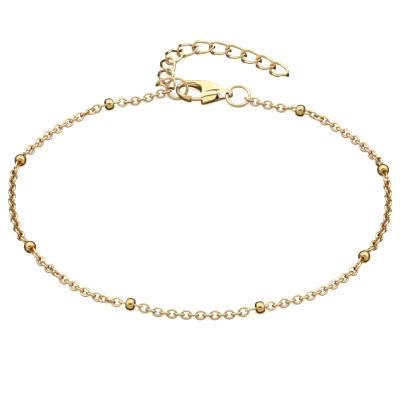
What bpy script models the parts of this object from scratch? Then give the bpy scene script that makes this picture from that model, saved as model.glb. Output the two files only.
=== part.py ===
import math

import bmesh
import bpy
from mathutils import Matrix, Vector

# Sizes, in metres
MM = 0.001
TABLE_CENTRE = Vector((0.0, 4.975, 0.0)) * MM
WIRE = 0.37 * MM
LINK_WIDTH = 1.54 * MM
LONG_LINK_WIDTH = 1.02 * MM
TABLE_GAP = 0.01 * MM
LINK_COUNT = 148
LINK_SIDES = 10
WIRE_SIDES = 5
MEETING_LINK = 74
MEETING_GAP = 0.10 * MM
CHAIN_START = Vector((-4.862, 24.715, 0.998)) * MM
CHAIN_END = Vector((7.401, 23.249, 0.682)) * MM

BEAD_RADIUS = 0.97 * MM
BEAD_LENGTH = 1.34 * MM
BEAD_END_RADIUS = 0.70 * MM
BEAD_SIDES = 10
SLOT_GAP = 0.08 * MM

RING_SIDES = 14
RING_WIRE_SIDES = 6
LEFT_RING_RADIUS = 1.616 * MM
LEFT_RING_WIRE = 0.49 * MM
LEFT_RING_CENTRE = Vector((-3.674, 24.888, 1.414)) * MM
LEFT_RING_NORMAL = Vector((-0.084, -0.711, 0.665))
RIGHT_RING_RADIUS = 1.822 * MM
RIGHT_RING_WIRE = 0.52 * MM
RIGHT_RING_CENTRE = Vector((6.116, 23.770, 0.829)) * MM
RIGHT_RING_NORMAL = Vector((-0.035, -0.323, 1.0))

EXTENDER_WIRE = 0.48 * MM
EXTENDER_WIDTH = 2.65 * MM
EXTENDER_TWIST = math.radians(110.0)
SLACK_LINKS = (2, 3)
SLACK_TWIST = math.radians(84.0)
EXTENDER_TWIST_POWER = 2.0
EXTENDER_FULLNESS = 0.77
EXTENDER_ROLL = math.radians(10.0)
EXTENDER_SIDES = 10
EXTENDER_WIRE_SIDES = 6

CLASP_ORIGIN = Vector((-3.845, 25.15, 0.0)) * MM
CLASP_ANGLE = math.radians(-6.2)
CLASP_HEIGHT = 1.75 * MM
CLASP_CHAMFER = 0.22 * MM
LEVER_PIVOT = (6.10, -0.35)
LEVER_BOTTOM = 0.57 * MM
LEVER_TOP = 1.18 * MM
LEVER_SLOT_GAP = 0.10 * MM
RIVET_RADIUS = 0.25 * MM
RIVET_GAP = 0.08 * MM
RIVET_SINK = 0.10 * MM

# Route of the chain on the table, in millimetres: x, y
ROUTE = [
    (-5.2, 24.2), (-6.9, 24.2), (-8.8, 23.4), (-10.9, 22.7), (-13.0, 22.2),
    (-15.0, 21.6), (-16.9, 20.5), (-18.7, 19.4), (-21.3, 17.3), (-23.8, 14.9),
    (-25.8, 12.4), (-27.5, 10.1), (-28.6, 7.5), (-29.3, 4.9), (-29.4, 1.7),
    (-29.3, -1.6), (-28.9, -4.7), (-28.0, -8.2), (-26.4, -11.5), (-24.6, -14.4),
    (-22.7, -16.8), (-20.6, -18.9), (-18.3, -20.9), (-15.4, -22.8), (-12.4, -24.0),
    (-10.4, -24.5), (-7.1, -25.7), (-4.0, -26.3), (0.3, -26.6), (4.8, -26.4),
    (8.5, -25.5), (13.1, -23.8), (17.0, -22.2), (20.5, -19.8), (23.7, -16.6),
    (25.2, -13.9), (26.9, -11.0), (28.2, -7.8), (29.1, -4.3), (29.4, -0.7),
    (29.3, 2.9), (28.7, 6.6), (27.3, 9.8), (24.9, 13.1), (21.8, 16.3),
    (18.9, 18.6), (16.3, 20.1), (13.4, 21.0), (11.4, 21.7), (9.3, 22.4),
    (7.6, 23.2),
]

# Link that each bead sits on, and how far it has slid along, in links
BEADS = [
    (9, 0.0), (27, 0.0), (46, 0.0), (65, 0.0),
    (83, 0.4), (102, 0.0), (121, 0.0), (139, 0.0),
]

# Twist that has built up along the chain: link, degrees
TWIST = [
    (0, 0.0), (11, 0.0), (14, -90.0), (51, -90.0), (54, -180.0), (60, -180.0),
    (63, -90.0), (120, -90.0), (124, 0.0), (134, 0.0), (141, -90.0), (148, -90.0),
]

# Route of the extender from its second link on, in millimetres: x, y, z
EXTENDER_ROUTE = [
    (-5.80, 27.30, 0.99), (-5.25, 30.00, 0.84), (-5.15, 32.60, 0.80), (-3.35, 34.70, 0.80),
    (-0.75, 35.80, 0.80), (2.00, 35.85, 0.80), (4.70, 35.05, 0.80), (7.15, 33.85, 0.80),
    (9.55, 32.50, 0.80), (11.70, 30.90, 0.80), (13.75, 29.10, 0.80),
]
EXTENDER_COUNT = 11
EXTENDER_GAP = 0.14 * MM
FIRST_LINK_CENTRE = Vector((-5.366, 25.566, 1.870)) * MM
FIRST_LINK_ALONG = Vector((-0.788, 0.403, -0.450))
FIRST_LINK_ROLL = math.radians(-104.8)

# Outline of the clasp from above, in millimetres: x, y
CLASP_OUTLINE = [
    (2.84, -2.30), (2.0, -2.32), (1.25, -2.1), (0.5, -1.5), (0.05, -0.6),
    (0.0, 0.3), (0.3, 1.1), (0.9, 1.7), (1.8, 2.05), (3.0, 2.2),
    (4.3, 2.15), (5.4, 1.80), (6.6, 1.25), (7.7, 0.68), (8.6, 0.40),
    (9.06, 0.28), (9.17, 0.03), (9.06, -0.24), (8.6, -0.38), (7.6, -0.75),
    (6.7, -1.15), (5.6, -1.75), (4.75, -2.15), (4.3, -2.1), (4.2, -1.5),
    (4.15, -0.4), (4.0, 0.3), (3.6, 0.85), (2.8, 1.2), (1.8, 1.2),
    (1.05, 0.85), (0.64, 0.2), (0.66, -0.65), (1.02, -1.38), (1.6, -1.75),
    (2.1, -1.80), (2.60, -1.74),
]

# Outline of the lever from above, in millimetres: x, y
LEVER_OUTLINE = [
    (2.97, -2.2), (4.3, -2.0), (4.6, -2.65), (5.3, -2.4), (6.3, -1.75),
    (6.65, -0.9), (6.62, -0.2), (6.3, 0.15), (5.85, 0.1), (5.0, -0.9),
    (4.3, -1.45), (2.97, -1.65),
]

# Slopes that thin the clasp toward its ends, in millimetres: x where a slope
# starts, x where it ends, then what is cut there from the bottom and the top
CLASP_SLOPES = [(4.2, 0.0, 0.86, 0.16), (6.9, 9.2, 0.36, 0.30)]
TAIL_HOLE = (7.0, 8.76, 0.40, 1.36)
LEVER_ROOM = 0.30 * MM
LEVER_SLOT_BACK = 1.05 * MM
CUTTER_REACH = 3.20 * MM
GOLD = (0.83, 0.62, 0.28, 1.0)


def clear_scene():
    for item in list(bpy.data.objects):
        bpy.data.objects.remove(item, do_unlink=True)


def new_collection(name):
    collection = bpy.data.collections.new(name)
    bpy.context.scene.collection.children.link(collection)
    return collection


def gold(name):
    material = bpy.data.materials.new(name)
    material.use_nodes = True
    shader = material.node_tree.nodes["Principled BSDF"]
    shader.inputs["Base Color"].default_value = GOLD
    shader.inputs["Metallic"].default_value = 1.0
    shader.inputs["Roughness"].default_value = 0.15
    material.diffuse_color = GOLD
    return material


def move_to(obj, collection):
    for owner in list(obj.users_collection):
        owner.objects.unlink(obj)
    collection.objects.link(obj)


def face_outward(bm):
    bmesh.ops.recalc_face_normals(bm, faces=bm.faces)
    if bm.calc_volume(signed=True) < 0.0:
        bmesh.ops.reverse_faces(bm, faces=bm.faces)


def object_from(bm, name, collection):
    face_outward(bm)
    mesh = bpy.data.meshes.new(name)
    bm.to_mesh(mesh)
    bm.free()
    obj = bpy.data.objects.new(name, mesh)
    collection.objects.link(obj)
    return obj


def finish(obj):
    obj.data.materials.clear()
    obj.data.materials.append(gold(obj.name + "_gold"))


def apply_modifier(obj, modifier):
    bpy.context.view_layer.objects.active = obj
    bpy.ops.object.modifier_apply(modifier=modifier.name)


def cut(obj, cutter, operation="DIFFERENCE"):
    modifier = obj.modifiers.new("cut", "BOOLEAN")
    modifier.operation = operation
    modifier.solver = "EXACT"
    modifier.object = cutter
    apply_modifier(obj, modifier)
    cutter.hide_render = True
    cutter.display_type = "WIRE"


# A plain ring of wire, used as the pattern of every link
def torus_mesh(radius, wire, sides, wire_sides):
    bpy.ops.mesh.primitive_torus_add(
        major_segments=sides, minor_segments=wire_sides,
        major_radius=radius, minor_radius=wire / 2.0)
    pattern = bpy.context.object
    turn = Matrix.Rotation(math.pi / sides, 4, "Z")
    pattern.data.transform(turn)
    mesh = pattern.data.copy()
    bpy.data.objects.remove(pattern, do_unlink=True)
    return mesh


def frame_for(along, roll):
    side = Vector((0.0, 0.0, 1.0)).cross(along).normalized()
    up = along.cross(side).normalized()
    across = side * math.cos(roll) + up * math.sin(roll)
    return along, across, along.cross(across)


# Adds one link to bm and gives back the inner faces at its start and end
def add_link(bm, pattern, radius, wire, wire_sides, start, end, roll,
             twist=0.0, power=1.0, fullness=1.0):
    along = (end - start).normalized()
    centre = (start + end) / 2.0
    axes = frame_for(along, roll)
    step = math.pi / LINK_SIDES
    flat = math.cos(math.pi / wire_sides) if wire_sides % 2 else 1.0
    full = math.cos(step) ** fullness
    inner = (radius - wire / 2.0 * flat) * math.cos(step) + radius * (full - math.cos(step))
    slide = ((end - start).length / 2.0 - inner) / full
    first_vert = len(bm.verts)
    first_face = len(bm.faces)
    bm.from_mesh(pattern)
    bm.verts.ensure_lookup_table()
    bm.faces.ensure_lookup_table()
    fresh_faces = bm.faces[first_face:]
    ends = [find_end(fresh_faces, -1.0, radius), find_end(fresh_faces, 1.0, radius)]
    reach = radius + slide
    for vert in bm.verts[first_vert:]:
        x, y, z = vert.co
        around = math.hypot(x, y)
        c, s = x / around, y / around
        x += slide * c + reach * (math.copysign(abs(c) ** fullness, c) - c)
        y += radius * (math.copysign(abs(s) ** fullness, s) - s)
        turn = twist * -0.5 * math.copysign((abs(x) / reach) ** power, x)
        y, z = y * math.cos(turn) - z * math.sin(turn), y * math.sin(turn) + z * math.cos(turn)
        vert.co = centre + axes[0] * x + axes[1] * y + axes[2] * z
    return ends


def find_end(faces, direction, radius):
    best = None
    for face in faces:
        middle = face.calc_center_median()
        if abs(middle.y) > 1e-6 or abs(middle.z) > 1e-6:
            continue
        if middle.x * direction > 0.0 and abs(middle.x) < radius:
            best = face
    return best


# Opens the faces that touch and joins their edges, so the links are one metal
def fuse(bm, touching):
    pairs = {}
    for first, second in touching:
        ring = list(first.verts)
        facing = list(reversed(second.verts))
        turns = [facing[turn:] + facing[:turn] for turn in range(len(facing))]
        best = min(turns, key=lambda turned: sum(
            (a.co - b.co).length for a, b in zip(ring, turned)))
        for vert, near in zip(ring, best):
            near.co = (near.co + vert.co) / 2.0
            pairs[vert] = near
    faces = [face for pair in touching for face in pair]
    bmesh.ops.delete(bm, geom=faces, context="FACES_ONLY")
    bmesh.ops.weld_verts(bm, targetmap=pairs)


def smooth_route(points, steps=24):
    first = points[0] * 2.0 - points[1]
    last = points[-1] * 2.0 - points[-2]
    held = [first] + points + [last]
    out = []
    for index in range(1, len(held) - 2):
        a, b, c, d = held[index - 1:index + 3]
        for step in range(steps):
            t = step / steps
            out.append(0.5 * (2.0 * b + (c - a) * t
                              + (2.0 * a - 5.0 * b + 4.0 * c - d) * t * t
                              + (3.0 * b - a - 3.0 * c + d) * t * t * t))
    out.append(points[-1])
    return out


def even_points(line, count):
    lengths = [0.0]
    for index in range(1, len(line)):
        lengths.append(lengths[-1] + (line[index] - line[index - 1]).length)
    out = []
    index = 0
    for step in range(count + 1):
        wanted = lengths[-1] * step / count
        while index < len(line) - 2 and lengths[index + 1] < wanted:
            index += 1
        span = lengths[index + 1] - lengths[index]
        out.append(line[index].lerp(line[index + 1], (wanted - lengths[index]) / span))
    return out


def table_value(table, at):
    for (x0, y0), (x1, y1) in zip(table, table[1:]):
        if at <= x1:
            return y0 + (y1 - y0) * (at - x0) / (x1 - x0)
    return table[-1][1]


def link_roll(index, span=1):
    roll = 45.0 if index % 2 == 0 else -45.0
    return math.radians(roll + table_value(TWIST, index + span / 2.0))


# How high the middle of a link lies when its lower side rests on the table
def resting_height(index):
    half = (LINK_WIDTH - WIRE) / 2.0
    return half * abs(math.sin(link_roll(index))) + WIRE / 2.0 + TABLE_GAP


# Joints of the chain: the chain is lifted where a bead or a ring carries it
def chain_points():
    flat = [Vector((x * MM, y * MM, 0.0)) for x, y in ROUTE]
    flat[0] = CHAIN_START.copy()
    flat[-1] = CHAIN_END.copy()
    points = even_points(smooth_route(flat), LINK_COUNT)
    for index, point in enumerate(points):
        around = (max(index - 1, 0), min(index, LINK_COUNT - 1))
        height = max(resting_height(link) for link in around)
        for link, slid in BEADS:
            away = abs(index - link - 0.5)
            share = max(0.0, 1.0 - max(0.0, away - 1.5) / 3.0)
            height = max(height, BEAD_RADIUS * share)
        left = max(0.0, 1.0 - index / 4.0)
        right = max(0.0, 1.0 - (LINK_COUNT - index) / 2.0)
        height += (CHAIN_START.z - height) * left + (CHAIN_END.z - height) * right
        point.z = height
    return points


# Links as start, end, roll and whether the link is a long one inside a bead
def chain_links():
    links = []
    index = 0
    inside = {link - 1: link for link, slid in BEADS}
    while index < LINK_COUNT:
        span = 3 if index in inside else 1
        links.append((index, index + span, link_roll(index, span), span == 3))
        index += span
    return links


def build_chain(collection, points, links):
    radius = (LINK_WIDTH - WIRE) / 2.0
    long_radius = (LONG_LINK_WIDTH - WIRE) / 2.0
    pattern = torus_mesh(radius, WIRE, LINK_SIDES, WIRE_SIDES)
    long_pattern = torus_mesh(long_radius, WIRE, LINK_SIDES, WIRE_SIDES)
    runs = [("chain_left", 0, MEETING_LINK), ("chain_right", MEETING_LINK, LINK_COUNT)]
    for name, first, last in runs:
        bm = bmesh.new()
        previous = None
        touching = []
        for start, end, roll, is_long in links:
            if start < first or end > last:
                continue
            a = points[start].copy()
            b = points[end].copy()
            along = (b - a).normalized()
            if start == MEETING_LINK:
                a -= along * MEETING_GAP / 2.0
            if end == MEETING_LINK:
                b += along * MEETING_GAP / 2.0
            mesh = long_pattern if is_long else pattern
            ring = long_radius if is_long else radius
            near, far = add_link(bm, mesh, ring, WIRE, WIRE_SIDES, a, b, roll)
            if previous is not None:
                touching.append((previous, near))
            previous = far
        fuse(bm, touching)
        finish(object_from(bm, name, collection))
    bpy.data.meshes.remove(pattern)
    bpy.data.meshes.remove(long_pattern)


# One rondelle, turned about the chain, with a slot that the long link fills
def build_bead(number, collection, cutters, centre, along, roll):
    half = BEAD_LENGTH / 2.0
    rim = BEAD_RADIUS
    end = BEAD_END_RADIUS
    profile = [
        (0.0, -half), (end, -half), (rim, -half * 0.40), (rim, half * 0.40),
        (end, half), (0.0, half),
    ]
    name = "bead_%d" % number
    mesh = bpy.data.meshes.new(name)
    verts = [(x, 0.0, z) for x, z in profile]
    edges = [(index, index + 1) for index in range(len(profile) - 1)]
    mesh.from_pydata(verts, edges, [])
    bead = bpy.data.objects.new(name, mesh)
    collection.objects.link(bead)
    screw = bead.modifiers.new("turn", "SCREW")
    screw.steps = BEAD_SIDES
    screw.render_steps = BEAD_SIDES
    screw.use_merge_vertices = True
    screw.merge_threshold = 0.000001
    apply_modifier(bead, screw)
    bm = bmesh.new()
    bm.from_mesh(bead.data)
    bmesh.ops.remove_doubles(bm, verts=bm.verts, dist=0.000001)
    face_outward(bm)
    bm.to_mesh(bead.data)
    bm.free()
    axes = frame_for(along, roll)
    place = Matrix((axes[1], axes[2], axes[0])).transposed().to_4x4()
    place.translation = centre
    bead.data.transform(place)
    wide = LONG_LINK_WIDTH + 2.0 * SLOT_GAP
    tall = WIRE + 2.0 * SLOT_GAP
    bpy.ops.mesh.primitive_cube_add(size=1.0)
    slot = bpy.context.object
    slot.name = name + "_slot"
    move_to(slot, cutters)
    slot.data.transform(place @ Matrix.Diagonal((wide, tall, BEAD_LENGTH * 2.0, 1.0)))
    cut(bead, slot)
    finish(bead)
    return bead


def build_ring(name, collection, centre, normal, radius, wire):
    mesh = torus_mesh(radius, wire, RING_SIDES, RING_WIRE_SIDES)
    turn = Vector((0.0, 0.0, 1.0)).rotation_difference(normal.normalized())
    place = turn.to_matrix().to_4x4()
    place.translation = centre
    mesh.transform(place)
    ring = bpy.data.objects.new(name, mesh)
    collection.objects.link(ring)
    finish(ring)


def build_extender(collection):
    radius = (EXTENDER_WIDTH - EXTENDER_WIRE) / 2.0
    pattern = torus_mesh(radius, EXTENDER_WIRE, EXTENDER_SIDES, EXTENDER_WIRE_SIDES)
    line = smooth_route([Vector(point) * MM for point in EXTENDER_ROUTE])
    joints = even_points(line, EXTENDER_COUNT - 1)
    half = ((joints[1] - joints[0]).length + EXTENDER_GAP) / 2.0
    spans = [(FIRST_LINK_CENTRE, FIRST_LINK_ALONG.normalized(), FIRST_LINK_ROLL)]
    for a, b in zip(joints, joints[1:]):
        spans.append(((a + b) / 2.0, (b - a).normalized(), EXTENDER_ROLL))
    for number, (centre, along, roll) in enumerate(spans, 1):
        bm = bmesh.new()
        add_link(bm, pattern, radius, EXTENDER_WIRE, EXTENDER_WIRE_SIDES,
                 centre - along * half, centre + along * half, roll,
                 SLACK_TWIST if number in SLACK_LINKS else EXTENDER_TWIST,
                 EXTENDER_TWIST_POWER, EXTENDER_FULLNESS)
        finish(object_from(bm, "extender_link_%d" % number, collection))
    bpy.data.meshes.remove(pattern)


def plate(outline, bottom, top):
    bm = bmesh.new()
    verts = [bm.verts.new((x * MM, y * MM, bottom)) for x, y in outline]
    face = bm.faces.new(verts)
    raised = bmesh.ops.extrude_face_region(bm, geom=[face])
    moved = [item for item in raised["geom"] if isinstance(item, bmesh.types.BMVert)]
    bmesh.ops.translate(bm, verts=moved, vec=(0.0, 0.0, top - bottom))
    bmesh.ops.recalc_face_normals(bm, faces=bm.faces)
    return bm


# Cuts a plate along a plane that leaves its face at start and runs inward to end
def slope(bm, start, end, depth, height, inward):
    run = Vector(((end - start) * MM, 0.0, depth * MM * inward))
    normal = Vector((run.z, 0.0, -run.x))
    if normal.z * inward > 0.0:
        normal.negate()
    geom = bm.verts[:] + bm.edges[:] + bm.faces[:]
    result = bmesh.ops.bisect_plane(
        bm, geom=geom, dist=1e-9, plane_co=(start * MM, 0.0, height),
        plane_no=normal, clear_outer=True)
    rim = [item for item in result["geom_cut"] if isinstance(item, bmesh.types.BMEdge)]
    bmesh.ops.edgeloop_fill(bm, edges=rim)
    bmesh.ops.recalc_face_normals(bm, faces=bm.faces)


def box_between(name, low, high, collection):
    bpy.ops.mesh.primitive_cube_add(size=1.0)
    box = bpy.context.object
    box.name = name
    move_to(box, collection)
    size = high - low
    place = Matrix.Translation((low + high) / 2.0) @ Matrix.Diagonal(size.to_4d())
    box.data.transform(place)
    return box


def post(name, x, y, radius, low, high, sides, collection):
    bpy.ops.mesh.primitive_cylinder_add(
        vertices=sides, radius=radius, depth=high - low,
        location=(x, y, (low + high) / 2.0))
    item = bpy.context.object
    item.name = name
    item.data.transform(item.matrix_world)
    item.matrix_world = Matrix.Identity(4)
    move_to(item, collection)
    return item


def chamfer(obj, width):
    bevel = obj.modifiers.new("chamfer", "BEVEL")
    bevel.width = width
    bevel.segments = 1
    bevel.limit_method = "ANGLE"
    bevel.angle_limit = math.radians(70.0)
    apply_modifier(obj, bevel)


def build_clasp(collection, cutters):
    place = Matrix.Translation(CLASP_ORIGIN) @ Matrix.Rotation(CLASP_ANGLE, 4, "Z")
    px = LEVER_PIVOT[0] * MM
    py = LEVER_PIVOT[1] * MM
    block = plate(CLASP_OUTLINE, 0.0, CLASP_HEIGHT)
    for start, end, below, above in CLASP_SLOPES:
        slope(block, start, end, below, 0.0, 1.0)
        slope(block, start, end, above, CLASP_HEIGHT, -1.0)
    body = object_from(block, "clasp_body", collection)
    chamfer(body, CLASP_CHAMFER)
    low = LEVER_BOTTOM - LEVER_SLOT_GAP
    high = LEVER_TOP + LEVER_SLOT_GAP
    tab_start = LEVER_OUTLINE[1][0] * MM
    lever_end = max(x for x, y in LEVER_OUTLINE) * MM
    slot = box_between(
        "lever_slot",
        Vector((tab_start - LEVER_ROOM, -CUTTER_REACH, low)),
        Vector((lever_end + LEVER_ROOM, LEVER_SLOT_BACK, high)), cutters)
    cut(body, slot)
    hole = box_between(
        "tail_hole",
        Vector((TAIL_HOLE[0] * MM, -CUTTER_REACH, TAIL_HOLE[2] * MM)),
        Vector((TAIL_HOLE[1] * MM, CUTTER_REACH, TAIL_HOLE[3] * MM)), cutters)
    cut(body, hole)
    rivet = post("rivet", px, py, RIVET_RADIUS, low - RIVET_SINK, high + RIVET_SINK, 10, cutters)
    cut(body, rivet, "UNION")
    body.data.transform(place)
    finish(body)
    lever = object_from(plate(LEVER_OUTLINE, LEVER_BOTTOM, LEVER_TOP), "clasp_lever", collection)
    bore = post("lever_bore", px, py, RIVET_RADIUS + RIVET_GAP, 0.0, CLASP_HEIGHT, 12, cutters)
    cut(lever, bore)
    lever.data.transform(place)
    finish(lever)


# Moves the piece so that its middle is over the origin
def centre_on_origin(collection):
    for obj in collection.objects:
        obj.data.transform(Matrix.Translation(-TABLE_CENTRE))


def main():
    clear_scene()
    collection = new_collection("bracelet")
    cutters = new_collection("cutters")
    points = chain_points()
    links = chain_links()
    build_chain(collection, points, links)
    for number, (link, slid) in enumerate(BEADS, 1):
        start, end, roll, is_long = next(item for item in links if item[0] == link - 1)
        along = (points[end] - points[start]).normalized()
        pitch = (points[end] - points[start]).length / 3.0
        centre = (points[end] + points[start]) / 2.0 + along * slid * pitch
        build_bead(number, collection, cutters, centre, along, roll)
    build_ring("jump_ring_left", collection, LEFT_RING_CENTRE, LEFT_RING_NORMAL,
               LEFT_RING_RADIUS, LEFT_RING_WIRE)
    build_ring("jump_ring_right", collection, RIGHT_RING_CENTRE, RIGHT_RING_NORMAL,
               RIGHT_RING_RADIUS, RIGHT_RING_WIRE)
    build_extender(collection)
    build_clasp(collection, cutters)
    centre_on_origin(collection)


if __name__ == "__main__":
    main()
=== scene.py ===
import math

import bmesh
import bpy
from bpy.props import FloatProperty, FloatVectorProperty, PointerProperty
from mathutils import Matrix, Vector
from mathutils.geometry import delaunay_2d_cdt


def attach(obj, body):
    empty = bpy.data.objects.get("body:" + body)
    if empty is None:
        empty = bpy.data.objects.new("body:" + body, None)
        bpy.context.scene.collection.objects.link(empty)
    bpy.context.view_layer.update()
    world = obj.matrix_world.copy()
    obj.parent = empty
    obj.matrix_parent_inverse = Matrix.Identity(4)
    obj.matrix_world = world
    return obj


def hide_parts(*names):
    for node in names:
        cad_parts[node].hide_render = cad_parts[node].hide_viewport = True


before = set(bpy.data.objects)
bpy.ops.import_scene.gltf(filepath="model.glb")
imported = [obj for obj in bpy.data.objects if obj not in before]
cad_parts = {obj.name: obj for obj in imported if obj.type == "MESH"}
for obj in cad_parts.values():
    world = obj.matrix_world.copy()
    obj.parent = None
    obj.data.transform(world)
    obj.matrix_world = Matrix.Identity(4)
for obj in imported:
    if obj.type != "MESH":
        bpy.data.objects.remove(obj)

bl_info = {
    "name": "Beaded chain bracelet",
    "version": (1, 0, 0),
    "blender": (4, 5, 0),
    "location": "View3D > Sidebar > Bracelet",
    "description": "Builds a fine gold chain bracelet with beads, clasp and extender",
    "category": "Add Mesh",
}

MM = 0.001
TABLE_CENTRE = Vector((0.0, 4.975, 0.0)) * MM
BODY = "bracelet"
LEVER_BODY = "lever"

# The fine chain. Its route on the table, in millimetres: x, y
ROUTE = [
    (-5.2, 24.2), (-6.9, 24.2), (-8.8, 23.4), (-10.9, 22.7), (-13.0, 22.2),
    (-15.0, 21.6), (-16.9, 20.5), (-18.7, 19.4), (-21.3, 17.3), (-23.8, 14.9),
    (-25.8, 12.4), (-27.5, 10.1), (-28.6, 7.5), (-29.3, 4.9), (-29.4, 1.7),
    (-29.3, -1.6), (-28.9, -4.7), (-28.0, -8.2), (-26.4, -11.5), (-24.6, -14.4),
    (-22.7, -16.8), (-20.6, -18.9), (-18.3, -20.9), (-15.4, -22.8), (-12.4, -24.0),
    (-10.4, -24.5), (-7.1, -25.7), (-4.0, -26.3), (0.3, -26.6), (4.8, -26.4),
    (8.5, -25.5), (13.1, -23.8), (17.0, -22.2), (20.5, -19.8), (23.7, -16.6),
    (25.2, -13.9), (26.9, -11.0), (28.2, -7.8), (29.1, -4.3), (29.4, -0.7),
    (29.3, 2.9), (28.7, 6.6), (27.3, 9.8), (24.9, 13.1), (21.8, 16.3),
    (18.9, 18.6), (16.3, 20.1), (13.4, 21.0), (11.4, 21.7), (9.3, 22.4),
    (7.6, 23.2),
]
CHAIN_START = Vector((-4.862, 24.715, 0.998)) * MM
CHAIN_END = Vector((7.401, 23.249, 0.682)) * MM
LINK_COUNT = 148
MEETING_LINK = 74
LINK_ROLL = 45.0
TABLE_GAP = 0.01 * MM
LEFT_RISE_LINKS = 4.0
RIGHT_RISE_LINKS = 2.0
BEAD_LIFT_NEAR = 1.5
BEAD_LIFT_FALL = 3.0

# Link that each bead sits on, and how far it has slid along, in links
BEADS = [
    (9, 0.0), (27, 0.0), (46, 0.0), (65, 0.0),
    (83, 0.4), (102, 0.0), (121, 0.0), (139, 0.0),
]

# Twist that has built up along the chain: link, degrees
TWIST = [
    (0, 0.0), (11, 0.0), (14, -90.0), (51, -90.0), (54, -180.0), (60, -180.0),
    (63, -90.0), (120, -90.0), (124, 0.0), (134, 0.0), (141, -90.0), (148, -90.0),
]

# Route of the extender from its second link on, in millimetres: x, y, z
EXTENDER_ROUTE = [
    (-5.80, 27.30, 0.99), (-5.25, 30.00, 0.84), (-5.15, 32.60, 0.80), (-3.35, 34.70, 0.80),
    (-0.75, 35.80, 0.80), (2.00, 35.85, 0.80), (4.70, 35.05, 0.80), (7.15, 33.85, 0.80),
    (9.55, 32.50, 0.80), (11.70, 30.90, 0.80), (13.75, 29.10, 0.80),
]
EXTENDER_COUNT = 11
EXTENDER_PLAY = 0.14 * MM
EXTENDER_TWIST = math.radians(110.0)
# The two links that lie slacker, by number
SLACK_LINKS = (2, 3)
SLACK_TWIST = math.radians(84.0)
EXTENDER_TWIST_POWER = 2.0
EXTENDER_FULLNESS = 0.77
EXTENDER_ROLL = math.radians(10.0)
FIRST_LINK_CENTRE = Vector((-5.386, 25.526, 1.885)) * MM
FIRST_LINK_ALONG = Vector((-0.788, 0.403, -0.450))
FIRST_LINK_ROLL = math.radians(-104.8)

# The two jump rings: name, middle in millimetres, direction they face, radius, wire
RINGS = [
    ("jump_ring_left", (-3.674, 24.888, 1.414), (-0.084, -0.711, 0.665), 1.616, 0.49),
    ("jump_ring_right", (6.116, 23.770, 0.829), (-0.035, -0.323, 1.0), 1.822, 0.52),
]

# Where the clasp lies; its own x runs from the hook to the tail
CLASP_ORIGIN = Vector((-3.845, 25.15, 0.0)) * MM
CLASP_ANGLE = math.radians(-6.2)

# Outline of the clasp from above, in millimetres: x, y
CLASP_OUTLINE = [
    (2.58, -2.28), (2.0, -2.32), (1.25, -2.1), (0.5, -1.5), (0.05, -0.6),
    (0.0, 0.3), (0.3, 1.1), (0.9, 1.7), (1.8, 2.05), (3.0, 2.2),
    (4.3, 2.15), (5.4, 1.80), (6.6, 1.25), (7.7, 0.68), (8.6, 0.40),
    (9.06, 0.28), (9.17, 0.03), (9.06, -0.24), (8.6, -0.38), (7.6, -0.75),
    (6.7, -1.15), (5.6, -1.75), (4.75, -2.15), (4.3, -2.1), (4.2, -1.5),
    (4.15, -0.4), (4.0, 0.3), (3.6, 0.85), (2.8, 1.2), (1.8, 1.2),
    (1.05, 0.85), (0.64, 0.2), (0.66, -0.65), (1.02, -1.38), (1.6, -1.75),
    (2.1, -1.80), (2.57, -1.78), (2.77, -2.02),
]
# The crest of its top and the front edge of the shoulder below it: x, y
CREST = [(4.2, -0.95), (4.88, -0.36), (5.78, 0.06), (7.06, 0.20), (9.2, 0.06)]
SHOULDER = [(4.2, -1.85), (4.95, -1.30), (6.2, -0.85), (6.8, -0.60), (8.1, -0.30), (9.2, -0.22)]

# Heights of the clasp in millimetres, and how they change toward the hook and the tail
CLASP_TOP = 1.75
CLASP_BACK = 2.2
HOOK_END, HOOK_RISE, HOOK_FALL = 4.2, 0.86, 0.16
TAIL_START, TAIL_LENGTH, TAIL_RISE, TAIL_FALL = 6.9, 2.3, 0.36, 0.30
CROWN_SLOPE = 0.05
SHELL_FRONT = 1.28
TAIL_FRONT = 1.40
HOLLOW_POWER = 4
FRONT_SLOPE = 3.0
THINNEST = 0.55

# What is cut out of the clasp, in millimetres: low and high corner
LEVER_SLOT = ((4.0, -3.2, 0.47), (6.95, 1.05, 1.28))
TAIL_HOLE = ((7.0, -3.0, 0.40), (8.76, 3.0, 1.36))
BEHIND_BAR = ((0.0, 0.0, -0.1), (1.70, 3.0, 0.6))
BAR_PLACE = Vector((7.0, -0.66, 0.0)) * MM
BAR_ANGLE = math.radians(19.0)

# Outline of the lever from above, and its heights, in millimetres
LEVER_HEIGHTS = (0.57, 1.18)
LEVER_OUTLINE = [
    (2.97, -2.2), (4.3, -2.0), (4.6, -2.65), (5.3, -2.4), (6.3, -1.75),
    (6.65, -0.9), (6.62, -0.2), (6.3, 0.15), (5.85, 0.1), (5.0, -0.9),
    (4.3, -1.45), (2.97, -1.65),
]

# Polished gold plate by how its core was made: sRGB tones, roughness, polishing waves in mm.
# Drawn wire and cast metal are barrel-polished to a warm mirror; the turned beads keep a finer
# grain from the cutter, which makes them a little softer. The beads' tones are a darker copy of
# the same gold, painted shade.
WIRE_TONES = ("#F2E1B6", "#F7EBC8")
FINISHES = {
    "wire": (WIRE_TONES, 0.12, 1.11),
    "ring": (WIRE_TONES, 0.09, 1.43),
    "curb": (WIRE_TONES, 0.10, 1.43),
    "cast": (WIRE_TONES, 0.11, 2.0),
    # Bead tones: the same gold painted darker, as painted shade
    "bead": (("#E6CE98", "#EDD9AA"), 0.16, 1.43),
}
WAVE_DEPTH = 0.01 * MM
# Painted shade and reflection: the deeper orange painted into recesses, and how far the occlusion
# reaches
RECESS_SHADE_COLOUR = "#D08A34"
RECESS_SHADE_REACH = 0.9 * MM

# Camera, from the photo: height angle, distance and lens
VIEW_HEIGHT = math.radians(42.4)
VIEW_DISTANCE = 0.7094
VIEW_LENS = 408.6

# Matt white paper that glows a little, as paper lit from below does
FLOOR_SIZE = 8.0
FLOOR_GLOW = 0.6

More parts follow.
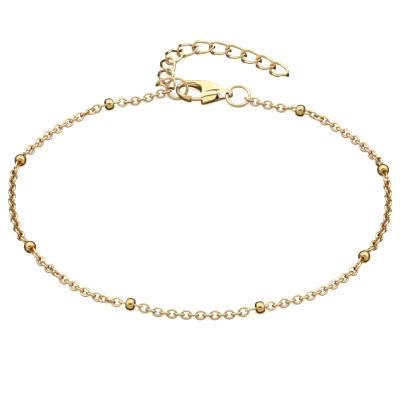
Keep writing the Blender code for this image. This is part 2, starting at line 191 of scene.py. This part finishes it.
# Light tent: the cloth's colour by height, then by how far a direction points down and away
SKY = [
    (-1.0, "#A8945E"), (-0.85, "#C2B78E"), (-0.5, "#DBD9CB"), (-0.1, "#C2B78E"),
    (0.02, "#A8945E"), (0.2, "#C2B78E"), (0.45, "#F6F4EE"), (1.0, "#FFFFFF"),
]
SKY_AWAY = Vector((0.0, 0.60, -0.80))
SKY_FALL = [
    (-1.0, "#FFFFFF"), (-0.09, "#F8F6EE"), (0.02, "#CBBC82"), (0.12, "#987A2C"),
    (0.26, "#705412"), (1.0, "#523A0A"),
]
SKY_STRENGTH = 1.33
TENT_GAP = (math.radians(14.0), math.radians(26.0))
TENT_GAP_HEIGHT = math.radians(46.0)
TENT_GAP_WIDTH = 2.5
TENT_GAP_COLOUR = "#6E4E1E"


def linear(code):
    """An sRGB hex colour as the linear colour that shaders use."""
    out = []
    for index in (1, 3, 5):
        value = int(code[index:index + 2], 16) / 255.0
        low = value / 12.92
        out.append(low if value <= 0.04045 else ((value + 0.055) / 1.055) ** 2.4)
    return (*out, 1.0)


def add_node(tree, kind, links=(), **settings):
    """Adds a node, sets its values and inputs, and links it: (input, from socket)."""
    node = tree.nodes.new(kind)
    for name, value in settings.items():
        if name in node.inputs:
            node.inputs[name].default_value = value
        else:
            setattr(node, name, value)
    for name, socket in links:
        tree.links.new(socket, node.inputs[name])
    return node


def gold_material(core):
    """Polished gold plate: a warm mirror with faint polishing waves, and painted shade: the
    recesses, found by ambient occlusion, are painted a deeper orange that stands in for shade and
    gold-on-gold reflection there."""
    tones, roughness, wave = FINISHES[core]
    material = bpy.data.materials.new("polished_gold_plate_" + core)
    material.use_nodes = True
    tree = material.node_tree
    shader = tree.nodes["Principled BSDF"]
    shader.inputs["Metallic"].default_value = 1.0
    place = add_node(tree, "ShaderNodeTexCoord")
    waves = add_node(tree, "ShaderNodeTexNoise", [("Vector", place.outputs["Object"])],
                     Scale=1.0 / (wave * MM), Detail=3.0, Roughness=0.5)
    tone = add_node(tree, "ShaderNodeValToRGB", [("Fac", waves.outputs["Fac"])])
    for stop, colour, position in zip(tone.color_ramp.elements, tones, (0.35, 0.65)):
        stop.color = linear(colour)
        stop.position = position
    # Painted shade: ambient occlusion mixes the deeper orange into the base colour in recesses, in
    # place of shade and gold-on-gold reflection
    recess = add_node(tree, "ShaderNodeAmbientOcclusion", Distance=RECESS_SHADE_REACH, samples=8)
    share = add_node(tree, "ShaderNodeMapRange", [("Value", recess.outputs["AO"])])
    share.inputs["From Min"].default_value = 0.35
    share.inputs["From Max"].default_value = 0.85
    painted_recess_shade = add_node(tree, "ShaderNodeMix", data_type="RGBA")
    tree.links.new(share.outputs["Result"], painted_recess_shade.inputs[0])
    tree.links.new(tone.outputs["Color"], painted_recess_shade.inputs[7])
    painted_recess_shade.inputs[6].default_value = linear(RECESS_SHADE_COLOUR)
    tree.links.new(painted_recess_shade.outputs[2], shader.inputs["Base Color"])
    wear = add_node(tree, "ShaderNodeMapRange", [("Value", waves.outputs["Fac"])])
    wear.inputs["To Min"].default_value = roughness * 0.7
    wear.inputs["To Max"].default_value = roughness * 1.3
    tree.links.new(wear.outputs["Result"], shader.inputs["Roughness"])
    bump = add_node(tree, "ShaderNodeBump", [("Height", waves.outputs["Fac"])],
                    Strength=0.25, Distance=WAVE_DEPTH)
    tree.links.new(bump.outputs["Normal"], shader.inputs["Normal"])
    return material


def smooth_line(points, steps, closed=False):
    """A smooth curve through the points, steps to each span."""
    if closed:
        held = [points[-1]] + list(points) + list(points[:2])
    else:
        held = [points[0] * 2.0 - points[1]] + list(points) + [points[-1] * 2.0 - points[-2]]
    out = []
    for index in range(1, len(held) - 2):
        a, b, c, d = held[index - 1:index + 3]
        for step in range(steps):
            t = step / steps
            out.append(0.5 * (2.0 * b + (c - a) * t
                              + (2.0 * a - 5.0 * b + 4.0 * c - d) * t * t
                              + (3.0 * b - a - 3.0 * c + d) * t * t * t))
    if not closed:
        out.append(points[-1])
    return out


def even_points(line, count):
    """Count spans of equal length along the line."""
    lengths = [0.0]
    for index in range(1, len(line)):
        lengths.append(lengths[-1] + (line[index] - line[index - 1]).length)
    out = []
    index = 0
    for step in range(count + 1):
        wanted = lengths[-1] * step / count
        while index < len(line) - 2 and lengths[index + 1] < wanted:
            index += 1
        span = lengths[index + 1] - lengths[index]
        out.append(line[index].lerp(line[index + 1], (wanted - lengths[index]) / span))
    return out


def ramp(value, start, end):
    """0 up to start, 1 from end on, and even in between."""
    return min(1.0, max(0.0, (value - start) / (end - start)))


def table_value(table, at):
    """The second column where the first one is at, straight between the rows."""
    for (x0, y0), (x1, y1) in zip(table, table[1:]):
        if at <= x1:
            return y0 + (y1 - y0) * (at - x0) / (x1 - x0)
    return table[-1][1]


def link_roll(index, span=1):
    """A cable chain's links lean left and right in turn, plus the twist of the chain."""
    roll = LINK_ROLL if index % 2 == 0 else -LINK_ROLL
    return math.radians(roll + table_value(TWIST, index + span / 2.0))


def chain_points(sizes):
    """Where each link touches the next, lifted where a bead or a ring carries the chain."""
    flat = [Vector((x * MM, y * MM, 0.0)) for x, y in ROUTE]
    flat[0] = CHAIN_START.copy()
    flat[-1] = CHAIN_END.copy()
    points = even_points(smooth_line(flat, 24), LINK_COUNT)
    half = (sizes.link_width - sizes.link_wire) / 2.0
    for index, point in enumerate(points):
        around = (max(index - 1, 0), min(index, LINK_COUNT - 1))
        rests = [half * abs(math.sin(link_roll(link))) for link in around]
        height = max(rests) + sizes.link_wire / 2.0 + TABLE_GAP
        for link, slid in BEADS:
            away = abs(index - link - 0.5)
            share = max(0.0, 1.0 - max(0.0, away - BEAD_LIFT_NEAR) / BEAD_LIFT_FALL)
            height = max(height, sizes.bead_radius * share)
        left = max(0.0, 1.0 - index / LEFT_RISE_LINKS)
        right = max(0.0, 1.0 - (LINK_COUNT - index) / RIGHT_RISE_LINKS)
        height += (CHAIN_START.z - height) * left + (CHAIN_END.z - height) * right
        point.z = height
    return points


def chain_links():
    """Each link's first and last touching point, roll, and whether it is inside a bead."""
    links = []
    index = 0
    inside = {link - 1: link for link, slid in BEADS}
    while index < LINK_COUNT:
        span = 3 if index in inside else 1
        links.append((index, index + span, link_roll(index, span), span == 3))
        index += span
    return links


def axes_for(along, roll):
    """A link's own axes: along it, across its loop, and out of its loop."""
    side = Vector((0.0, 0.0, 1.0)).cross(along).normalized()
    up = along.cross(side).normalized()
    across = side * math.cos(roll) + up * math.sin(roll)
    return along, across, along.cross(across)


def fuller(value, fullness):
    """The value to a power, with its sign kept."""
    return math.copysign(abs(value) ** fullness, value)


def add_loop(bm, centre, axes, half_long, half_wide, wire, sides, wire_sides,
             twist=0.0, power=1.0, fullness=1.0):
    """One closed loop of round wire: fullness below 1 squares it, twist turns its ends."""
    rows = []
    for step in range(sides):
        t = 2.0 * math.pi * (step + 0.5) / sides
        c, s = math.cos(t), math.sin(t)
        middle = Vector((half_long * fuller(c, fullness), half_wide * fuller(s, fullness), 0.0))
        out = Vector((half_wide * c * abs(s) ** (fullness - 1.0),
                      half_long * s * abs(c) ** (fullness - 1.0), 0.0)).normalized()
        row = []
        for turn in range(wire_sides):
            a = 2.0 * math.pi * turn / wire_sides
            x, y, z = middle + (out * math.cos(a) + Vector((0.0, 0.0, math.sin(a)))) * wire / 2.0
            bend = twist * -0.5 * fuller(x / half_long, power)
            y, z = y * math.cos(bend) - z * math.sin(bend), y * math.sin(bend) + z * math.cos(bend)
            row.append(bm.verts.new(centre + axes[0] * x + axes[1] * y + axes[2] * z))
        rows.append(row)
    for step in range(sides):
        here = rows[step]
        there = rows[(step + 1) % sides]
        for turn in range(wire_sides):
            after = (turn + 1) % wire_sides
            bm.faces.new((here[turn], there[turn], there[after], here[after]))


def piece_from(bm, name, material, body, nodes):
    """Turns the mesh into a named piece that rides on its body and stands for its nodes."""
    bmesh.ops.recalc_face_normals(bm, faces=bm.faces)
    bmesh.ops.translate(bm, verts=bm.verts, vec=-TABLE_CENTRE)
    for face in bm.faces:
        face.smooth = True
    mesh = bpy.data.meshes.new(name)
    bm.to_mesh(mesh)
    bm.free()
    piece = bpy.data.objects.new(name, mesh)
    bpy.context.scene.collection.objects.link(piece)
    mesh.materials.append(material)
    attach(piece, body)
    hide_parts(*nodes)
    return piece


def plan_of(outline, count):
    """A closed smooth outline as evenly spaced points, with each point's inward direction."""
    line = smooth_line([Vector((x, y, 0.0)) for x, y in outline], 12, closed=True)
    loop = even_points(line + [line[0]], count)[:-1]
    area = sum(a.x * b.y - b.x * a.y for a, b in zip(loop, loop[1:] + loop[:1]))
    if area < 0.0:
        loop.reverse()
    inward = []
    for index in range(count):
        run = loop[(index + 1) % count] - loop[index - 1]
        inward.append(Vector((-run.y, run.x, 0.0)).normalized())
    return loop, inward


def room_at(loop, inward):
    """How far each point of the outline can move inward before it meets another side."""
    out = []
    for point, normal in zip(loop, inward):
        room = 9.0
        for other in loop:
            step = other - point
            ahead = step.dot(normal)
            if ahead > 0.0001:
                room = min(room, step.length_squared / (2.0 * ahead))
        out.append(room)
    return out


def cast_plate(outline, count, heights, edge, spacing=0.08):
    """A cast plate with rounded edges, in mm: heights gives low and high z, edge the rounding."""
    loop, inward = plan_of(outline, count)
    rims = [edge(p.x, p.y) for p in loop]
    depths = [min(rim[0], 0.80 * room) for rim, room in zip(rims, room_at(loop, inward))]
    for turn in range(6):
        depths = [min(depths[i], (depths[i - 1] + depths[i] + depths[(i + 1) % count]) / 3.0)
                  for i in range(count)]
    bm = bmesh.new()
    levels = 8
    rows = {1: [], -1: []}
    for side in (1, -1):
        for level in range(levels):
            a = math.pi / 2.0 * level / (levels - 1)
            row = []
            for point, normal, depth, rim in zip(loop, inward, depths, rims):
                place = point + normal * depth * (1.0 - math.cos(a))
                low, high = heights(place.x, place.y)
                middle = (low + high) / 2.0
                thick = (high - low) / 2.0
                fall = min(depth * rim[1], thick) * (1.0 - math.sin(a))
                row.append(bm.verts.new((place.x, place.y, middle + side * (thick - fall))))
            rows[side].append(row)
    for side in (1, -1):
        for here, there in zip(rows[side], rows[side][1:]):
            for i in range(count):
                j = (i + 1) % count
                bm.faces.new((here[i], here[j], there[j], there[i]))
    for i in range(count):
        j = (i + 1) % count
        bm.faces.new((rows[1][0][i], rows[1][0][j], rows[-1][0][j], rows[-1][0][i]))
    crest = [Vector((v.co.x, v.co.y)) for v in rows[1][-1]]
    inner = list(crest)
    low_x, high_x = min(p.x for p in crest), max(p.x for p in crest)
    low_y, high_y = min(p.y for p in crest), max(p.y for p in crest)
    for i in range(int((high_x - low_x) / spacing) + 1):
        for j in range(int((high_y - low_y) / spacing) + 1):
            spot = Vector((low_x + (i + 0.5) * spacing, low_y + (j + 0.5) * spacing))
            if min((spot - p).length_squared for p in crest) > (0.5 * spacing) ** 2:
                inner.append(spot)
    ring = [(i, (i + 1) % count) for i in range(count)]
    spots, _, cells, origin, _, _ = delaunay_2d_cdt(inner, ring, [], 1, 0.00001)
    for side in (1, -1):
        made = []
        for spot, source in zip(spots, origin):
            if source and source[0] < count:
                made.append(rows[side][-1][source[0]])
            else:
                low, high = heights(spot.x, spot.y)
                made.append(bm.verts.new((spot.x, spot.y, high if side > 0 else low)))
        for cell in cells:
            bm.faces.new([made[i] for i in cell])
    bmesh.ops.delete(bm, geom=[v for v in bm.verts if not v.link_faces], context="VERTS")
    bmesh.ops.scale(bm, vec=(MM, MM, MM), verts=bm.verts)
    return bm


def cut_box(piece, low, high, place):
    """Cuts a box out of the piece; the box is given in the place's own axes, in mm."""
    bpy.ops.mesh.primitive_cube_add(size=1.0)
    box = bpy.context.object
    middle = (Vector(low) + Vector(high)) / 2.0 * MM
    size = (Vector(high) - Vector(low)) * MM
    box.data.transform(place @ Matrix.Translation(middle) @ Matrix.Diagonal(size.to_4d()))
    modifier = piece.modifiers.new("cut", "BOOLEAN")
    modifier.solver = "EXACT"
    modifier.object = box
    bpy.context.view_layer.objects.active = piece
    bpy.ops.object.modifier_apply(modifier=modifier.name)
    bpy.data.objects.remove(box, do_unlink=True)


class BraceletSizes(bpy.types.PropertyGroup):
    """Sizes and colours that a user would change."""
    link_wire: FloatProperty(
        name="Link wire", description="Thickness of the fine chain's wire",
        default=0.37 * MM, min=0.0, unit="LENGTH")
    link_width: FloatProperty(
        name="Link width", description="Outer width of a fine chain link",
        default=1.54 * MM, min=0.0, unit="LENGTH")
    long_link_width: FloatProperty(
        name="Threaded link width", description="Outer width of the link inside a bead",
        default=1.02 * MM, min=0.0, unit="LENGTH")
    bead_radius: FloatProperty(
        name="Bead radius", description="Radius of a bead at its rim",
        default=0.97 * MM, min=0.0, unit="LENGTH")
    bead_length: FloatProperty(
        name="Bead length", description="Length of a bead along the chain",
        default=1.34 * MM, min=0.0, unit="LENGTH")
    extender_wire: FloatProperty(
        name="Extender wire", description="Thickness of the extender's wire",
        default=0.48 * MM, min=0.0, unit="LENGTH")
    extender_width: FloatProperty(
        name="Extender link width", description="Outer width of an extender link",
        default=2.65 * MM, min=0.0, unit="LENGTH")
    floor_colour: FloatVectorProperty(
        name="Floor colour", description="Colour of the plain floor",
        default=linear("#FBFBFA")[:3], min=0.0, max=1.0, size=3, subtype="COLOR")


class BRACELET_OT_chain(bpy.types.Operator):
    """Builds both runs of the fine cable chain"""
    bl_idname = "bracelet.chain"
    bl_label = "Chain"

    def execute(self, context):
        sizes = context.scene.bracelet_sizes
        points = chain_points(sizes)
        links = chain_links()
        metal = gold_material("wire")
        runs = [("chain_left", 0, MEETING_LINK), ("chain_right", MEETING_LINK, LINK_COUNT)]
        for name, first, last in runs:
            bm = bmesh.new()
            for start, end, roll, is_long in links:
                if start < first or end > last:
                    continue
                a = points[start]
                b = points[end]
                width = sizes.long_link_width if is_long else sizes.link_width
                add_loop(bm, (a + b) / 2.0, axes_for((b - a).normalized(), roll),
                         ((b - a).length + sizes.link_wire) / 2.0,
                         (width - sizes.link_wire) / 2.0, sizes.link_wire, 28, 12)
            piece_from(bm, "gold_" + name, metal, BODY, [name])
        return {"FINISHED"}


class BRACELET_OT_beads(bpy.types.Operator):
    """Builds the polished rondelle beads"""
    bl_idname = "bracelet.beads"
    bl_label = "Beads"

    def execute(self, context):
        sizes = context.scene.bracelet_sizes
        points = chain_points(sizes)
        links = chain_links()
        metal = gold_material("bead")
        half = sizes.bead_length / 2.0
        flat = sizes.bead_radius * 0.52
        for number, (link, slid) in enumerate(BEADS, 1):
            start, end, roll, is_long = next(item for item in links if item[0] == link - 1)
            along = (points[end] - points[start]).normalized()
            pitch = (points[end] - points[start]).length / 3.0
            centre = (points[end] + points[start]) / 2.0 + along * slid * pitch
            axes = axes_for(along, roll)
            profile = [(flat * 0.62, -half * 0.86), (flat * 0.80, -half * 0.97)]
            for step in range(17):
                a = math.pi * (step / 16.0 - 0.5)
                profile.append((flat + (sizes.bead_radius - flat) * math.cos(a) ** 0.8,
                                half * math.sin(a)))
            profile += [(flat * 0.80, half * 0.97), (flat * 0.62, half * 0.86)]
            bm = bmesh.new()
            rows = []
            for radius, run in profile:
                rows.append([bm.verts.new(
                    centre + axes[0] * run
                    + (axes[1] * math.cos(t) + axes[2] * math.sin(t)) * radius)
                    for t in (2.0 * math.pi * turn / 40 for turn in range(40))])
            for here, there in zip(rows, rows[1:]):
                for turn in range(40):
                    after = (turn + 1) % 40
                    bm.faces.new((here[turn], here[after], there[after], there[turn]))
            bm.faces.new(rows[0])
            bm.faces.new(rows[-1])
            piece_from(bm, "gold_bead_%d" % number, metal, BODY, ["bead_%d" % number])
        return {"FINISHED"}


class BRACELET_OT_rings(bpy.types.Operator):
    """Builds the two jump rings"""
    bl_idname = "bracelet.rings"
    bl_label = "Jump rings"

    def execute(self, context):
        metal = gold_material("ring")
        for name, centre, normal, radius, wire in RINGS:
            turn = Vector((0.0, 0.0, 1.0)).rotation_difference(Vector(normal).normalized())
            axes = turn.to_matrix().transposed()
            bm = bmesh.new()
            add_loop(bm, Vector(centre) * MM, axes, radius * MM, radius * MM, wire * MM, 72, 20)
            piece_from(bm, "gold_" + name, metal, BODY, [name])
        return {"FINISHED"}


class BRACELET_OT_extender(bpy.types.Operator):
    """Builds the twisted links of the extender"""
    bl_idname = "bracelet.extender"
    bl_label = "Extender"

    def execute(self, context):
        sizes = context.scene.bracelet_sizes
        metal = gold_material("curb")
        line = smooth_line([Vector(point) * MM for point in EXTENDER_ROUTE], 24)
        joints = even_points(line, EXTENDER_COUNT - 1)
        half = ((joints[1] - joints[0]).length + EXTENDER_PLAY) / 2.0
        spans = [(FIRST_LINK_CENTRE, FIRST_LINK_ALONG.normalized(), FIRST_LINK_ROLL)]
        for a, b in zip(joints, joints[1:]):
            spans.append(((a + b) / 2.0, (b - a).normalized(), EXTENDER_ROLL))
        for number, (centre, along, roll) in enumerate(spans, 1):
            bm = bmesh.new()
            add_loop(bm, centre, axes_for(along, roll), half + sizes.extender_wire / 2.0,
                     (sizes.extender_width - sizes.extender_wire) / 2.0,
                     sizes.extender_wire, 64, 16,
                     SLACK_TWIST if number in SLACK_LINKS else EXTENDER_TWIST,
                     EXTENDER_TWIST_POWER, EXTENDER_FULLNESS)
            name = "extender_link_%d" % number
            piece_from(bm, "gold_" + name, metal, BODY, [name])
        return {"FINISHED"}


def clasp_heights(x, y):
    """Low and high side of the clasp in mm: a hollow front below a crest, and thin ends."""
    hook = max(0.0, HOOK_END - x) / HOOK_END
    tail = max(0.0, x - TAIL_START) / TAIL_LENGTH
    body = ramp(x, 3.9, 4.4)
    low = HOOK_RISE * hook + TAIL_RISE * tail
    high = CLASP_TOP - HOOK_FALL * hook - TAIL_FALL * tail
    crest = table_value(CREST, x)
    high -= CROWN_SLOPE * max(0.0, CLASP_BACK - max(y, crest)) * body
    edge = SHELL_FRONT + (TAIL_FRONT - SHELL_FRONT) * ramp(x, 6.6, 7.0)
    share = max(0.0, crest - y) / (crest - table_value(SHOULDER, x))
    hollow = 1.0 - (1.0 - min(share, 1.0)) ** HOLLOW_POWER
    high -= ((high - edge) * hollow + FRONT_SLOPE * max(0.0, share - 1.0)) * body
    return low, max(high, low + THINNEST)


def clasp_edge(x, y):
    """Rounding of the clasp's edge, across and down: a round hook and a crisp body."""
    body = ramp(x, 3.6, 4.2)
    return 0.40 - 0.24 * body, 2.2 - 1.2 * body


def lever_heights(x, y):
    """The lever is one flat thickness."""
    return LEVER_HEIGHTS


def lever_edge(x, y):
    """Rounding of the lever's edge: a round bar that ends in a flat thumb tab."""
    return (0.26 if x < 4.3 else 0.14), 1.0


class BRACELET_OT_clasp(bpy.types.Operator):
    """Builds the lobster clasp's body and its sprung lever"""
    bl_idname = "bracelet.clasp"
    bl_label = "Clasp"

    def execute(self, context):
        place = Matrix.Translation(CLASP_ORIGIN) @ Matrix.Rotation(CLASP_ANGLE, 4, "Z")
        metal = gold_material("cast")
        bm = cast_plate(CLASP_OUTLINE, 260, clasp_heights, clasp_edge)
        bmesh.ops.transform(bm, matrix=place, verts=bm.verts)
        body = piece_from(bm, "gold_clasp_body", metal, BODY, ["clasp_body"])
        shifted = Matrix.Translation(-TABLE_CENTRE) @ place
        along_bar = shifted @ Matrix.Translation(BAR_PLACE) @ Matrix.Rotation(BAR_ANGLE, 4, "Z")
        cut_box(body, *LEVER_SLOT, shifted)
        cut_box(body, *TAIL_HOLE, shifted)
        cut_box(body, *BEHIND_BAR, along_bar)
        bm = cast_plate(LEVER_OUTLINE, 160, lever_heights, lever_edge)
        bmesh.ops.transform(bm, matrix=place, verts=bm.verts)
        piece_from(bm, "gold_clasp_lever", metal, LEVER_BODY, ["clasp_lever"])
        return {"FINISHED"}


class BRACELET_OT_stage(bpy.types.Operator):
    """Sets the floor, the camera and the soft studio light"""
    bl_idname = "bracelet.stage"
    bl_label = "Stage"

    def execute(self, context):
        sizes = context.scene.bracelet_sizes
        bpy.ops.mesh.primitive_plane_add(size=FLOOR_SIZE, location=(0.0, 0.0, 0.0))
        floor = context.object
        floor.name = "floor"
        paper = bpy.data.materials.new("matt_white_paper")
        paper.use_nodes = True
        shader = paper.node_tree.nodes["Principled BSDF"]
        shader.inputs["Base Color"].default_value = (*sizes.floor_colour, 1.0)
        shader.inputs["Roughness"].default_value = 0.9
        shader.inputs["Emission Color"].default_value = (1.0, 1.0, 1.0, 1.0)
        shader.inputs["Emission Strength"].default_value = FLOOR_GLOW
        floor.data.materials.append(paper)
        floor.visible_glossy = False

        target = -TABLE_CENTRE
        back = Vector((0.0, -math.cos(VIEW_HEIGHT), math.sin(VIEW_HEIGHT)))
        camera = bpy.data.objects.new("camera", bpy.data.cameras.new("camera"))
        context.scene.collection.objects.link(camera)
        camera.location = target + back * VIEW_DISTANCE
        camera.rotation_euler = (math.pi / 2.0 - VIEW_HEIGHT, 0.0, 0.0)
        camera.data.lens = VIEW_LENS
        camera.data.sensor_width = 36.0
        camera.data.clip_start = 0.01
        camera.data.clip_end = 20.0
        context.scene.camera = camera

        world = bpy.data.worlds.new("light_tent")
        context.scene.world = world
        world.use_nodes = True
        tree = world.node_tree
        sky = tree.nodes["Background"]
        place = add_node(tree, "ShaderNodeTexCoord")
        bands = []
        for toward, stops in ((Vector((0.0, 0.0, 1.0)), SKY), (SKY_AWAY, SKY_FALL)):
            lean = add_node(tree, "ShaderNodeVectorMath", [(0, place.outputs["Generated"])],
                            operation="DOT_PRODUCT")
            lean.inputs[1].default_value = toward.normalized()
            height = add_node(tree, "ShaderNodeMapRange", [("Value", lean.outputs["Value"])])
            height.inputs["From Min"].default_value = -1.0
            band = add_node(tree, "ShaderNodeValToRGB", [("Fac", height.outputs["Result"])])
            colours = band.color_ramp.elements
            while len(colours) < len(stops):
                colours.new(0.5)
            for stop, (rise, tone) in zip(colours, stops):
                stop.position = (rise + 1.0) / 2.0
                stop.color = linear(tone)
            bands.append(band.outputs["Color"])
        cloth = add_node(tree, "ShaderNodeVectorMath", [(0, bands[0]), (1, bands[1])],
                         operation="MULTIPLY")
        wide = add_node(tree, "ShaderNodeVectorMath", [(0, place.outputs["Generated"])],
                        operation="MULTIPLY")
        wide.inputs[1].default_value = (1.0 / TENT_GAP_WIDTH, 1.0, 1.0)
        even = add_node(tree, "ShaderNodeVectorMath", [(0, wide.outputs["Vector"])],
                        operation="NORMALIZE")
        near = add_node(tree, "ShaderNodeVectorMath", [(0, even.outputs["Vector"])],
                        operation="DOT_PRODUCT")
        near.inputs[1].default_value = (0.0, -math.cos(TENT_GAP_HEIGHT), math.sin(TENT_GAP_HEIGHT))
        gap = add_node(tree, "ShaderNodeMapRange", [("Value", near.outputs["Value"])])
        gap.inputs["From Min"].default_value = math.cos(TENT_GAP[1])
        gap.inputs["From Max"].default_value = math.cos(TENT_GAP[0])
        tent = add_node(tree, "ShaderNodeMix", data_type="RGBA")
        tree.links.new(gap.outputs["Result"], tent.inputs[0])
        tree.links.new(cloth.outputs["Vector"], tent.inputs[6])
        tent.inputs[7].default_value = linear(TENT_GAP_COLOUR)
        tree.links.new(tent.outputs[2], sky.inputs["Color"])
        sky.inputs["Strength"].default_value = SKY_STRENGTH
        context.scene.view_settings.view_transform = "Standard"
        return {"FINISHED"}


class BRACELET_PT_panel(bpy.types.Panel):
    """Lists the sizes and the pieces"""
    bl_label = "Bracelet"
    bl_idname = "BRACELET_PT_panel"
    bl_space_type = "VIEW_3D"
    bl_region_type = "UI"
    bl_category = "Bracelet"

    def draw(self, context):
        sizes = context.scene.bracelet_sizes
        for name in BraceletSizes.__annotations__:
            self.layout.prop(sizes, name)
        for operator in OPERATORS:
            self.layout.operator(operator.bl_idname)


OPERATORS = (
    BRACELET_OT_stage, BRACELET_OT_chain, BRACELET_OT_beads, BRACELET_OT_rings,
    BRACELET_OT_extender, BRACELET_OT_clasp,
)
CLASSES = (BraceletSizes, *OPERATORS, BRACELET_PT_panel)


def register():
    for item in CLASSES:
        bpy.utils.register_class(item)
    bpy.types.Scene.bracelet_sizes = PointerProperty(type=BraceletSizes)


def unregister():
    del bpy.types.Scene.bracelet_sizes
    for item in reversed(CLASSES):
        bpy.utils.unregister_class(item)


def main():
    """Builds every piece in order."""
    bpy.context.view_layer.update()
    register()
    bpy.ops.bracelet.stage()
    bpy.ops.bracelet.chain()
    bpy.ops.bracelet.beads()
    bpy.ops.bracelet.rings()
    bpy.ops.bracelet.extender()
    bpy.ops.bracelet.clasp()


if __name__ == "__main__":
    main()
